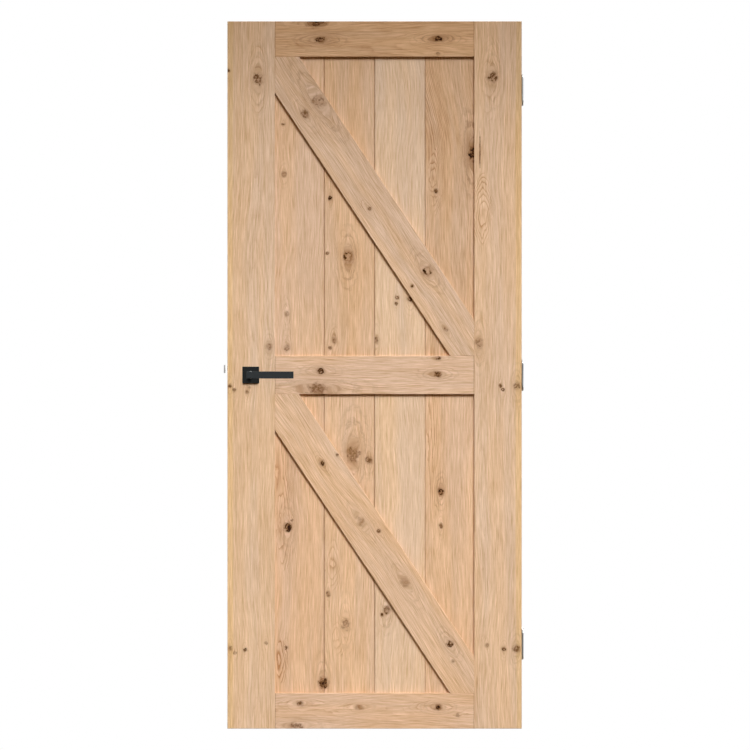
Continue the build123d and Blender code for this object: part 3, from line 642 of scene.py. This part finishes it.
def paintOak(name, piece, share=oakShare):
    material, tree, shader = newMaterial("oak of " + name)
    angle = (0.0, math.radians(piece["turn"]), 0.0)
    place3d = put(tree, "TexCoord", {}, "Object")
    position = put(tree, "Mapping", {"Vector": place3d, "Rotation": angle}, vector_type="POINT")
    facing = put(tree, "TexCoord", {}, "Normal")
    facing = put(tree, "Mapping", {"Vector": facing, "Rotation": angle}, vector_type="VECTOR")
    end = smooth(tree, maths(tree, "ABSOLUTE", axis(tree, facing, "Z")), *share["endGrain"])
    shade = 0.0
    # Painted shade darkens a board's bevels, where the joints between boards fall in shade, the left
    # and the right one by their own amounts
    if "bevelShade" in piece:
        left, right = piece["bevelShade"]
        low, high = share["bevelSides"]
        tilt = axis(tree, facing, "X")
        sides = put(tree, "MapRange", {0: tilt, 1: low, 2: high, 3: left, 4: right})
        tilt = maths(tree, "ABSOLUTE", tilt)
        shade = smooth(tree, tilt, *share["bevelStart"])
        shade = maths(tree, "MULTIPLY", shade, smooth(tree, tilt, *share["bevelEnd"]))
        shade = maths(tree, "MULTIPLY", shade, sides)
    # The joints at a rail's ends show as fine dark lines
    if "shoulder" in piece:
        reach, width, depth = piece["shoulder"]
        out = maths(tree, "ABSOLUTE", axis(tree, place3d, "X"))
        shade = smooth(tree, out, reach - width, reach, 0.0, depth)
    seed = Vector(piece["seed"])
    spot = vectorMaths(tree, "ADD", position, seed)
    rough = evenNoises(tree, spot, share["knotRagged"])
    speck = noiseAt(tree, spot, share["knotSpecks"])
    # Paler sapwood along one edge
    sap = 0.0
    if "sap" in piece:
        edge, width = piece["sap"]
        outer, inner = share["sapEdge"]
        sap = maths(tree, "ABSOLUTE", maths(tree, "SUBTRACT", axis(tree, position, "X"), edge))
        sap = maths(tree, "MULTIPLY_ADD", noiseAt(tree, position, share["sapUneven"]), width, sap)
        sap = smooth(tree, sap, outer * width, inner * width)
    # Grain that leans over a part of the piece's length
    if "lean" in piece:
        low, high, shift = piece["lean"]
        shift = smooth(tree, axis(tree, position, "Z"), low, high, 0.0, shift)
        position = vectorMaths(tree, "ADD", position, put(tree, "CombineXYZ", {0: shift}))
    uneven = scaled(tree, evenNoises(tree, spot, share["swellUneven"]), share["swellShift"])
    swelling = vectorMaths(tree, "ADD", position, uneven)
    depth, bold = 0.0, 0.0
    for x, z, width, length, amount, strength in piece.get("swells", ()):
        x, z = turned((x, z), piece["turn"])
        outputs = place(
            tree,
            swellGroup,
            {
                "Position": swelling,
                "Depth": depth,
                "Bold": bold,
                "Centre": (x, 0.0, z),
                "Size": (1.0 / width, 0.0, 1.0 / length),
                "Amount": amount,
                "Strength": strength,
            },
        )
        depth, bold = outputs["Depth"], outputs["Bold"]
    # The haze starts with the bevels' painted shade and the rail joints' dark lines, and each knot
    # adds its own
    grain, dark, haze = position, 0.0, shade
    crescents = piece.get("crescents", {})
    for number, (x, z, radius, darkness, haziness, stretch, *depths) in enumerate(piece["knots"]):
        inwards = 1.0 / depths[0] if depths else 0.0
        x, z = turned((x, z), piece["turn"])
        side = turned(crescents.get(number, (0.0, 0.0)), piece["turn"])
        outputs = place(
            tree,
            knotGroup,
            {
                "Position": position,
                "Grain": grain,
                "Rough": rough,
                "Speck": speck,
                "Dark": dark,
                "HazeAndShade": haze,
                "Centre": (x, leafFront, z),
                "Size": (1.0 / radius, inwards, 1.0 / (radius * stretch)),
                "Darkness": darkness,
                "Haziness": haziness,
                "Side": (side[0], 0.0, side[1]),
            },
        )
        grain, dark, haze = outputs["Grain"], outputs["Dark"], outputs["HazeAndShade"]
    outputs = place(
        tree,
        oakGroup,
        {
            "Grain": grain,
            "Seed": seed,
            "Pith": (piece["pith"][0], piece["pith"][1], 0.0),
            "Ring": piece["ring"],
            "Taper": piece["taper"],
            "Tone": (*piece["tone"], 1.0),
            "Lines": piece["lines"],
            "Streaks": piece["streaks"],
            "Patches": piece["patches"],
            "Dark": dark,
            "HazeAndShade": haze,
            "End": end,
            "Sap": sap,
            "Depth": depth,
            "Bold": bold,
        },
    )
    bump = {"Height": outputs["Height"], "Strength": share["bump"], "Distance": share["bumpHeight"]}
    fill(
        tree,
        shader,
        {
            "Base Color": outputs["Color"],
            "Roughness": outputs["Roughness"],
            "Normal": put(tree, "Bump", bump),
            "Specular IOR Level": share["gloss"],
        },
    )
    paint(material, name)


# Places on the oak pieces are across the leaf and up it, in metres.
# A knot has its place, radius, darkness, haziness, length for its width, and a depth
# from the front where it doesn't go right through.
# A swelling has its place, half its width and length, how far it shifts the rings,
# and how bold it makes them. A crescent is a knot's number and the way its rim faces.
# Pith is where the tree's middle lies, across the grain and in depth.
# Sap is an edge and a width, and lean is a start, an end and a shift.
# A shoulder is how far a rail's joint is from the middle, its width and its darkness.
# A board's bevels give how much painted shade its left and right bevel get.
railJoint = (0.298, 0.004, 0.5)
braceTurn = 33.7  # degrees from upright

# Stiles
lockStile = {
    "turn": 0.0,
    "sap": (-0.440, 0.018),
    "tone": (0.716, 0.494, 0.339),
    "seed": (1.7, 0.4, 3.1),
    "pith": (-0.348, 0.07),
    "ring": 0.0030,
    "taper": 0.012,
    "lines": 0.5,
    "streaks": 1.0,
    "patches": 1.0,
    "swells": [
        (-0.348, 1.943, 0.046, 0.12, -0.012, 0.45),
    ],
    "knots": [
        (-0.348, 1.943, 0.0102, 0.55, 0.5, 1.3),
        (-0.438, 1.967, 0.0039, 0.8, 0.3, 1.0, 0.006),
        (-0.315, 1.141, 0.0069, 0.36, 0.4, 1.0),
        (-0.433, 1.025, 0.0045, 0.5, 0.4, 1.0),
        (-0.420, 1.013, 0.0039, 0.45, 0.3, 1.0),
        (-0.382, 1.007, 0.0040, 0.65, 0.4, 1.0),
        (-0.374, 1.021, 0.0030, 0.35, 0.3, 1.0),
        (-0.387, 0.235, 0.0042, 0.95, 0.3, 1.0),
        (-0.432, 0.241, 0.0048, 0.4, 0.3, 1.0),
        (-0.417, 0.226, 0.0036, 0.4, 0.2, 1.0),
        (-0.324, 0.256, 0.0036, 0.4, 0.2, 1.0),
    ],
}
paintOak("lock_stile", lockStile)

hingeStile = {
    "turn": 0.0,
    "sap": (0.440, 0.018),
    "tone": (0.717, 0.489, 0.333),
    "seed": (7.3, 2.2, 0.6),
    "pith": (0.322, 0.06),
    "ring": 0.0033,
    "taper": 0.014,
    "lines": 0.5,
    "streaks": 1.0,
    "patches": 1.0,
    "swells": [
        (0.322, 1.551, 0.036, 0.115, -0.016, 1.2),
        (0.35, 1.945, 0.046, 0.13, -0.014, 0.6),
        (0.318, 1.79, 0.016, 0.11, -0.006, 0.4),
    ],
    "knots": [
        (0.354, 1.949, 0.0096, 0.6, 0.5, 1.3),
        (0.312, 1.153, 0.0090, 0.35, 0.5, 1.3),
        (0.376, 1.025, 0.0036, 0.7, 0.3, 1.0),
        (0.384, 1.014, 0.0039, 0.8, 0.3, 1.0),
        (0.426, 1.025, 0.0084, 0.5, 0.4, 1.0),
        (0.387, 0.238, 0.0045, 0.85, 0.4, 1.0),
        (0.4245, 0.239, 0.0078, 0.55, 0.4, 1.0),
        (0.336, 0.250, 0.0039, 0.25, 0.2, 1.0),
        (0.315, 1.722, 0.0013, 0.6, 0.1, 26.0),
    ],
}
paintOak("hinge_stile", hingeStile)

# Rails
topRail = {
    "turn": 90.0,
    "shoulder": railJoint,
    "tone": (0.635, 0.397, 0.238),
    "seed": (3.9, 5.1, 1.2),
    "pith": (2.060, 0.07),
    "ring": 0.0030,
    "taper": 0.016,
    "lines": 0.9,
    "streaks": 1.0,
    "patches": 1.2,
    "swells": [
        (-0.163, 2.06, 0.03, 0.11, -0.01, 0.5),
        (0.19, 2.063, 0.03, 0.11, -0.01, 0.4),
    ],
    "knots": [
        (-0.163, 2.060, 0.0063, 1.3, 0.9, 1.6),
        (-0.172, 2.111, 0.0090, 0.8, 0.4, 2.2, 0.007),
        (0.190, 2.063, 0.0057, 1.1, 0.9, 1.5),
        (0.190, 2.018, 0.0036, 0.5, 0.3, 1.0),
    ],
}
paintOak("top_rail", topRail)

middleRail = {
    "turn": 90.0,
    "shoulder": railJoint,
    "tone": (0.711, 0.479, 0.334),
    "seed": (2.6, 9.4, 4.4),
    "pith": (1.120, 0.08),
    "ring": 0.0032,
    "taper": 0.012,
    "lines": 0.6,
    "streaks": 1.0,
    "patches": 1.0,
    "swells": [
        (-0.16, 1.069, 0.026, 0.09, -0.008, 0.4),
        (0.188, 1.06, 0.026, 0.09, -0.008, 0.4),
    ],
    "knots": [
        (-0.160, 1.069, 0.0066, 0.95, 0.6, 1.2),
        (-0.172, 1.016, 0.0120, 0.4, 0.6, 1.8),
        (0.190, 1.108, 0.0039, 0.7, 0.4, 1.6),
        (0.188, 1.060, 0.0063, 0.85, 0.6, 1.2),
    ],
}
paintOak("middle_rail", middleRail)

bottomRail = {
    "turn": 90.0,
    "shoulder": railJoint,
    "tone": (0.710, 0.473, 0.325),
    "seed": (8.1, 1.3, 6.7),
    "pith": (0.050, 0.07),
    "ring": 0.0030,
    "taper": 0.014,
    "lines": 0.9,
    "streaks": 1.0,
    "patches": 1.0,
    "swells": [
        (-0.223, 0.076, 0.026, 0.1, -0.009, 0.45),
        (-0.046, 0.064, 0.028, 0.11, -0.009, 0.45),
        (0.191, 0.064, 0.03, 0.11, -0.01, 0.5),
    ],
    "knots": [
        (-0.223, 0.076, 0.0054, 0.55, 0.4, 1.3),
        (-0.046, 0.064, 0.0054, 0.2, 0.3, 1.6),
        (0.191, 0.064, 0.0063, 0.95, 0.5, 1.1),
        (-0.232, 0.009, 0.0075, 0.45, 0.4, 1.8, 0.007),
        (0.249, 0.040, 0.0036, 0.3, 0.2, 1.0),
    ],
}
paintOak("bottom_rail", bottomRail)

# Boards of the upper panel, from the lock side
upperBoardOne = {
    "turn": 0.0,
    "bevelShade": (0.0, 0.3),
    "tone": (0.709, 0.475, 0.323),
    "seed": (0.3, 6.2, 5.8),
    "pith": (-0.267, 0.07),
    "ring": 0.0029,
    "taper": 0.012,
    "lines": 0.4,
    "streaks": 1.0,
    "patches": 1.15,
    "swells": [
        (-0.267, 1.195, 0.024, 0.11, -0.008, 0.5),
    ],
    "knots": [
        (-0.274, 1.808, 0.0039, 0.5, 0.2, 0.6),
        (-0.271, 1.659, 0.0054, 0.28, 0.3, 1.0),
        (-0.262, 1.240, 0.0048, 0.30, 0.3, 1.2),
        (-0.262, 1.138, 0.0060, 0.38, 0.4, 1.2),
    ],
}
paintOak("upper_board_1", upperBoardOne)

upperBoardTwo = {
    "turn": 0.0,
    "bevelShade": (0.2, 0.35),
    "tone": (0.679, 0.444, 0.287),
    "seed": (4.5, 3.3, 8.2),
    "pith": (-0.100, 0.07),
    "ring": 0.0032,
    "taper": 0.012,
    "lines": 0.4,
    "streaks": 1.0,
    "patches": 1.15,
    "swells": [
        (-0.085, 1.41, 0.05, 0.1, -0.012, 0.45),
        (-0.125, 1.15, 0.022, 0.06, -0.006, 0.4),
    ],
    "knots": [
        (-0.133, 1.587, 0.0039, 0.95, 0.4, 1.2),
        (-0.079, 1.410, 0.0099, 1.0, 0.8, 1.2),
        (-0.142, 1.422, 0.0033, 0.6, 0.2, 1.0),
        (-0.121, 1.162, 0.0048, 0.42, 0.3, 1.3),
        (-0.133, 1.138, 0.0039, 0.4, 0.3, 1.0),
    ],
    "crescents": {1: (-0.6, 0.8)},
}
paintOak("upper_board_2", upperBoardTwo)

upperBoardThree = {
    "turn": 0.0,
    "bevelShade": (0.35, 0.1),
    "tone": (0.725, 0.517, 0.369),
    "seed": (6.6, 7.5, 2.9),
    "pith": (-0.060, 0.08),
    "ring": 0.0028,
    "taper": 0.010,
    "lines": 0.35,
    "streaks": 0.9,
    "patches": 1.15,
    "knots": [
        (0.004, 1.162, 0.0060, 0.45, 0.4, 1.4),
        (0.067, 1.288, 0.0045, 0.6, 0.2, 1.0),
        (0.064, 1.271, 0.0039, 0.6, 0.2, 1.0),
        (0.106, 1.285, 0.0060, 0.8, 0.5, 1.0),
    ],
}
paintOak("upper_board_3", upperBoardThree)

upperBoardFour = {
    "turn": 0.0,
    "bevelShade": (0.1, 0.0),
    "tone": (0.645, 0.419, 0.269),
    "seed": (9.2, 0.8, 7.4),
    "pith": (0.130, 0.07),
    "ring": 0.0034,
    "taper": 0.016,
    "lines": 0.7,
    "streaks": 1.1,
    "patches": 1.2,
    "lean": (1.72, 2.0, 0.048),
    "swells": [
        (0.186, 1.640, 0.030, 0.105, -0.016, 1.0),
        (0.185, 1.930, 0.060, 0.300, -0.002, 1.2),
    ],
    "knots": [
        (0.298, 1.719, 0.0125, 1.1, 1.0, 1.3),
        (0.184, 1.608, 0.0039, 0.85, 0.3, 1.4),
    ],
}
paintOak("upper_board_4", upperBoardFour)

# Boards of the lower panel, from the lock side
lowerBoardOne = {
    "turn": 0.0,
    "bevelShade": (0.0, 0.3),
    "tone": (0.716, 0.466, 0.307),
    "seed": (5.4, 8.7, 0.9),
    "pith": (-0.305, 0.06),
    "ring": 0.0030,
    "taper": 0.012,
    "lines": 0.45,
    "streaks": 1.0,
    "patches": 0.8,
    "swells": [
        (-0.277, 0.202, 0.022, 0.066, -0.006, 1.6),
        (-0.262, 0.610, 0.034, 0.150, -0.012, 1.1),
        (-0.266, 0.790, 0.034, 0.150, -0.003, 1.3),
    ],
    "knots": [
        (-0.259, 0.603, 0.0087, 0.9, 0.5, 1.2),
        (-0.247, 0.622, 0.0030, 0.7, 0.2, 1.0),
        (-0.265, 0.241, 0.0042, 0.55, 0.4, 1.3),
        (-0.154, 0.133, 0.0096, 0.85, 0.5, 1.3),
    ],
}
paintOak("lower_board_1", lowerBoardOne)

lowerBoardTwo = {
    "turn": 0.0,
    "bevelShade": (0.3, 0.35),
    "tone": (0.730, 0.483, 0.318),
    "seed": (1.1, 4.9, 9.7),
    "pith": (-0.121, 0.06),
    "ring": 0.0033,
    "taper": 0.014,
    "lines": 0.45,
    "streaks": 1.0,
    "patches": 0.8,
    "swells": [
        (-0.119, 0.490, 0.032, 0.080, -0.010, 0.8),
        (-0.100, 0.280, 0.030, 0.065, -0.010, 0.8),
    ],
    "knots": [
        (-0.063, 0.820, 0.0150, 0.35, 0.8, 1.2),
        (-0.017, 0.803, 0.0078, 0.5, 0.4, 1.0),
        (-0.139, 0.402, 0.0042, 0.6, 0.3, 1.5),
        (-0.087, 0.310, 0.0084, 0.35, 0.4, 1.5),
        (-0.154, 0.133, 0.0096, 0.85, 0.5, 1.3),
    ],
}
paintOak("lower_board_2", lowerBoardTwo)

lowerBoardThree = {
    "turn": 0.0,
    "bevelShade": (0.35, 0.0),
    "tone": (0.753, 0.527, 0.364),
    "seed": (3.2, 2.8, 3.6),
    "pith": (0.010, 0.07),
    "ring": 0.0029,
    "taper": 0.010,
    "lines": 0.4,
    "streaks": 0.9,
    "patches": 0.8,
    "swells": [
        (0.03, 0.345, 0.024, 0.05, -0.006, 0.4),
    ],
    "knots": [
        (0.037, 0.354, 0.0078, 0.5, 0.5, 1.2),
        (0.022, 0.340, 0.0036, 0.8, 0.2, 1.0),
    ],
}
paintOak("lower_board_3", lowerBoardThree)

lowerBoardFour = {
    "turn": 0.0,
    "bevelShade": (0.0, 0.0),
    "tone": (0.723, 0.477, 0.315),
    "seed": (7.9, 6.9, 1.8),
    "pith": (0.140, 0.07),
    "ring": 0.0032,
    "taper": 0.014,
    "lines": 0.5,
    "streaks": 1.0,
    "patches": 0.9,
    "swells": [
        (0.184, 0.850, 0.036, 0.230, -0.003, 1.1),
        (0.199, 0.606, 0.028, 0.09, -0.009, 0.5),
    ],
    "knots": [
        (0.199, 0.709, 0.0060, 1.1, 0.7, 1.2),
        (0.199, 0.606, 0.0039, 0.5, 0.3, 1.3),
    ],
}
paintOak("lower_board_4", lowerBoardFour)

# Braces
frontUpperBrace = {
    "turn": braceTurn,
    "tone": (0.659, 0.447, 0.308),
    "seed": (0.9, 1.6, 6.1),
    "pith": (0.930, 0.08),
    "ring": 0.0032,
    "taper": 0.014,
    "lines": 0.45,
    "streaks": 1.0,
    "patches": 1.0,
    "swells": [
        (-0.034, 1.556, 0.02, 0.04, -0.009, 0.6),
        (0.157, 1.369, 0.034, 0.09, -0.008, 0.4),
    ],
    "knots": [
        (-0.166, 1.877, 0.0135, 0.35, 0.7, 1.3),
        (-0.208, 1.838, 0.0084, 0.45, 0.4, 1.0),
        (-0.014, 1.554, 0.0039, 0.5, 0.2, 1.0),
        (0.157, 1.369, 0.0099, 0.9, 0.7, 1.0),
        (0.112, 1.324, 0.0033, 0.95, 0.2, 1.0),
        (0.213, 1.192, 0.0045, 0.42, 0.4, 1.2),
    ],
    "crescents": {3: (-0.5, -0.85)},
}
paintOak("front_upper_brace", frontUpperBrace)

frontLowerBrace = {
    "turn": braceTurn,
    "tone": (0.707, 0.471, 0.314),
    "seed": (5.9, 4.0, 2.3),
    "pith": (0.400, 0.08),
    "ring": 0.0032,
    "taper": 0.014,
    "lines": 0.45,
    "streaks": 1.0,
    "patches": 1.0,
    "swells": [
        (0.013, 0.591, 0.026, 0.06, -0.006, 0.4),
        (0.225, 0.253, 0.03, 0.07, -0.008, 0.5),
    ],
    "knots": [
        (-0.157, 0.794, 0.0051, 1.4, 0.5, 1.0),
        (-0.112, 0.818, 0.0036, 0.45, 0.3, 1.0),
        (0.013, 0.591, 0.0045, 0.5, 0.3, 1.0),
        (-0.040, 0.618, 0.0084, 0.2, 0.4, 1.5),
        (0.091, 0.438, 0.0090, 0.18, 0.4, 1.3),
        (0.225, 0.253, 0.0075, 0.85, 0.7, 1.0),
        (0.234, 0.202, 0.0036, 0.35, 0.2, 1.0),
    ],
}
paintOak("front_lower_brace", frontLowerBrace)

# The back braces aren't in the picture, so their knots are their own
backUpperBrace = {
    "turn": braceTurn,
    "tone": (0.659, 0.436, 0.301),
    "seed": (2.1, 7.7, 8.8),
    "pith": (0.850, -0.12),
    "ring": 0.0030,
    "taper": 0.012,
    "lines": 0.55,
    "streaks": 1.0,
    "patches": 1.0,
    "knots": [
        (-0.120, 1.770, 0.0070, 0.8, 0.6, 1.2),
        (0.060, 1.450, 0.0045, 0.6, 0.3, 1.1),
        (0.205, 1.290, 0.0090, 0.5, 0.6, 1.3),
    ],
}
paintOak("back_upper_brace", backUpperBrace)

backLowerBrace = {
    "turn": braceTurn,
    "tone": (0.702, 0.461, 0.312),
    "seed": (8.4, 5.6, 4.7),
    "pith": (0.340, -0.12),
    "ring": 0.0030,
    "taper": 0.012,
    "lines": 0.55,
    "streaks": 1.0,
    "patches": 1.0,
    "knots": [
        (-0.205, 0.900, 0.0060, 0.6, 0.5, 1.2),
        (-0.060, 0.640, 0.0085, 0.9, 0.6, 1.1),
        (0.150, 0.330, 0.0050, 0.5, 0.4, 1.2),
    ],
}
paintOak("back_lower_brace", backLowerBrace)
print("oak finished")


# Fine texture of coats, castings and drawn metal
def makeFinishGroup():
    group, source, sink = newGroup(
        "metal finish",
        {
            "Position": "Vector",
            "Fine": "Vector",
            "Broad": "Vector",
            "Tone": "Color",
            "Variation": "Float",
            "Roughness": "Float",
            "Unevenness": "Float",
        },
        {"Color": "Color", "Roughness": "Float", "Height": "Float"},
    )
    fine = noiseAt(group, source["Position"], source["Fine"])
    broad = noiseAt(group, source["Position"], source["Broad"], 3.0)
    both = maths(group, "SUBTRACT", maths(group, "ADD", fine, broad), 1.0)
    level = maths(group, "MULTIPLY_ADD", both, source["Variation"], 1.0)
    colour = scaled(group, source["Tone"], level)
    rough = maths(group, "MULTIPLY_ADD", both, source["Unevenness"], source["Roughness"])
    fill(group, sink, {"Color": colour, "Roughness": rough, "Height": fine})
    return group


finishGroup = makeFinishGroup()
metalBumpHeight = 0.0001


def paintMetal(title, finish, *names):
    material, tree, shader = newMaterial(title)
    position = put(tree, "TexCoord", {}, "Object")
    outputs = place(
        tree,
        finishGroup,
        {
            "Position": position,
            "Fine": finish["fine"],
            "Broad": finish["broad"],
            "Tone": (*finish["tone"], 1.0),
            "Variation": finish["variation"],
            "Roughness": finish["roughness"],
            "Unevenness": finish["unevenness"],
        },
    )
    bump = {"Height": outputs["Height"], "Strength": finish["bump"], "Distance": metalBumpHeight}
    fill(
        tree,
        shader,
        {
            "Base Color": outputs["Color"],
            "Roughness": outputs["Roughness"],
            "Metallic": finish["metallic"],
            "Normal": put(tree, "Bump", bump),
            "Specular IOR Level": finish["gloss"],
        },
    )
    paint(material, *names)
    return material


# Handle set
blackCoat = {
    "tone": (0.012, 0.015, 0.017),
    "fine": (1600.0, 1600.0, 1600.0),
    "broad": (60.0, 60.0, 60.0),
    "variation": 0.35,
    "roughness": 0.48,
    "unevenness": 0.12,
    "bump": 0.5,
    "metallic": 0.0,
    "gloss": 0.36,
}
paintMetal("black powder coat", blackCoat, "front_lever", "back_lever")

# The roses have the levers' black coat with a darker tone, which is painted shade, and less gloss
roseCoatPaintedShade = {**blackCoat, "tone": (0.010, 0.011, 0.011), "gloss": 0.16}
paintMetal("black rose coat with painted shade", roseCoatPaintedShade, "front_rose_cover", "back_rose_cover")

satinSteel = {
    "tone": (0.74, 0.74, 0.73),
    "fine": (900.0, 2400.0, 60.0),
    "broad": (40.0, 40.0, 14.0),
    "variation": 0.25,
    "roughness": 0.36,
    "unevenness": 0.20,
    "bump": 0.3,
    "metallic": 1.0,
    "gloss": 0.5,
}
zincPlate = {
    "tone": (0.50, 0.51, 0.53),
    "fine": (500.0, 500.0, 500.0),
    "broad": (90.0, 90.0, 90.0),
    "variation": 0.40,
    "roughness": 0.42,
    "unevenness": 0.30,
    "bump": 0.3,
    "metallic": 1.0,
    "gloss": 0.5,
}
springWire = {
    "tone": (0.30, 0.30, 0.31),
    "fine": (1400.0, 1400.0, 1400.0),
    "broad": (80.0, 80.0, 80.0),
    "variation": 0.30,
    "roughness": 0.30,
    "unevenness": 0.20,
    "bump": 0.2,
    "metallic": 1.0,
    "gloss": 0.5,
}
nylon = {
    "tone": (0.75, 0.74, 0.70),
    "fine": (1200.0, 1200.0, 1200.0),
    "broad": (70.0, 70.0, 70.0),
    "variation": 0.10,
    "roughness": 0.50,
    "unevenness": 0.15,
    "bump": 0.2,
    "metallic": 0.0,
    "gloss": 0.5,
}
paintMetal("zinc plate", zincPlate, "latch_case", "latch_case_cover", "case_rivets", "follower")
paintMetal("cast zinc", zincPlate, "front_rose_base", "back_rose_base")
paintMetal("nylon", nylon, "front_rose_bush", "back_rose_bush")
wireFinish = paintMetal("spring wire", springWire, "latch_spring", "follower_spring")
paintMetal(
    "satin steel",
    satinSteel,
    "latch_forend",
    "forend_screws",
    "latch_bolt",
    "spindle",
    "lever_grub_screws",
    "rose_sleeves",
    "rose_bolts",
)
hinges = ("upper_hinge", "middle_hinge", "lower_hinge")
hingeParts = ("_frame_plate", "_door_plate", "_pin", "_bearings", "_screws")
hingePieces = [hinge + part for hinge in hinges for part in hingeParts]
paintMetal("hinge steel", satinSteel, *hingePieces)
print("metal finished")

# The latch's two coil springs get welded, smooth-shaded copies that ride on the leaf, in place of
# the CAD springs.
weldDistance = 0.00001


def makeSpring(name):
    work = bmesh.new()
    work.from_mesh(cadNodes[name].data)
    bmesh.ops.remove_doubles(work, verts=work.verts, dist=weldDistance)
    for face in work.faces:
        face.smooth = True
    mesh = bpy.data.meshes.new(name + "_coil")
    work.to_mesh(mesh)
    work.free()
    mesh.materials.clear()
    mesh.materials.append(wireFinish)
    piece = bpy.data.objects.new(name + "_coil", mesh)
    scene.collection.objects.link(piece)
    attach(piece, "leaf")
    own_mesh(piece)
    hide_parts(name)


makeSpring("latch_spring")
makeSpring("follower_spring")
print("springs wound")

# Beech dowels
beech = {
    "turn": 90.0,
    "tone": (0.62, 0.42, 0.26),
    "seed": (4.2, 4.4, 5.5),
    "pith": (0.3, 0.2),
    "ring": 0.0020,
    "taper": 0.008,
    "lines": 0.25,
    "streaks": 1.0,
    "patches": 0.6,
    "knots": [],
}
paintOak("rail_dowels", beech)
print("dowels finished")
